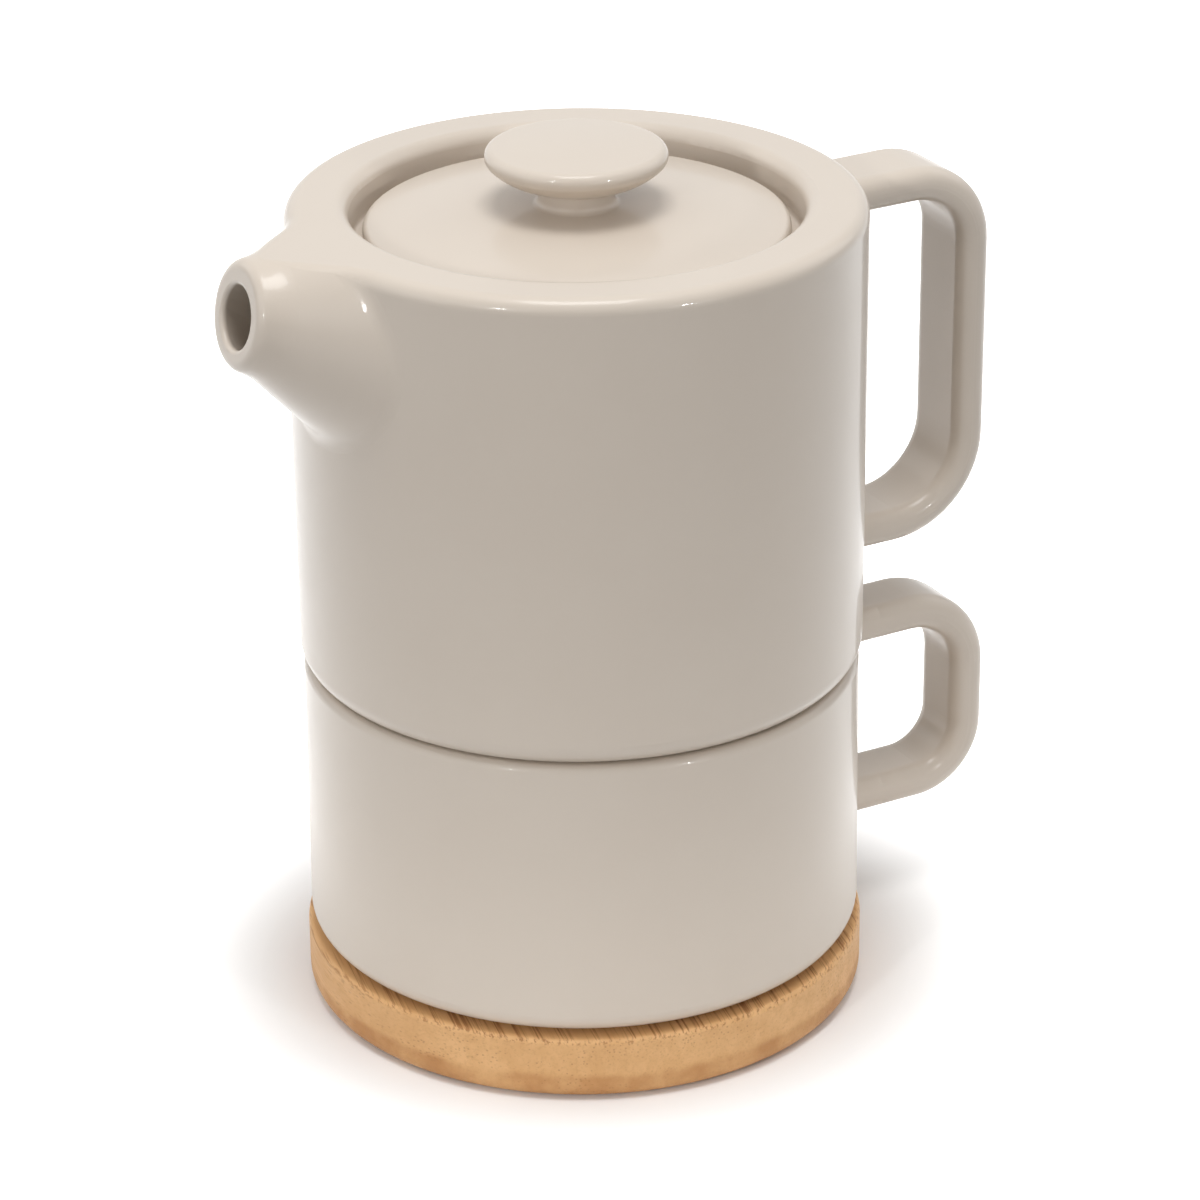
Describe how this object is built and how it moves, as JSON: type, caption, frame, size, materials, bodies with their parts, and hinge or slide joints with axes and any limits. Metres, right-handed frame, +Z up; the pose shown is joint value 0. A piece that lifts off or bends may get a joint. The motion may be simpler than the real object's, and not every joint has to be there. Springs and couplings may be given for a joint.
{
  "type": "tea for one teapot",
  "caption": "Stacking tea for one: a knob-lidded teapot with a cone spout and strap handle nests on its matching mug, which stands on a round bamboo coaster.",
  "frame": {"origin": "centre of the coaster's underside, on the table", "axes": "+Z up the common axis of coaster, cup, teapot and lid; +X towards both handles, -X towards the spout; +Y across the set, which is symmetric in Y"},
  "size_m": [0.1568, 0.107, 0.1676],
  "materials": {
    "glaze": "satin",
    "bamboo": "satin"
  },
  "bodies": {
    "root": {"teapot": "glaze", "lid": "glaze", "cup": "glaze", "coaster": "bamboo"}
  },
  "joints": []
}
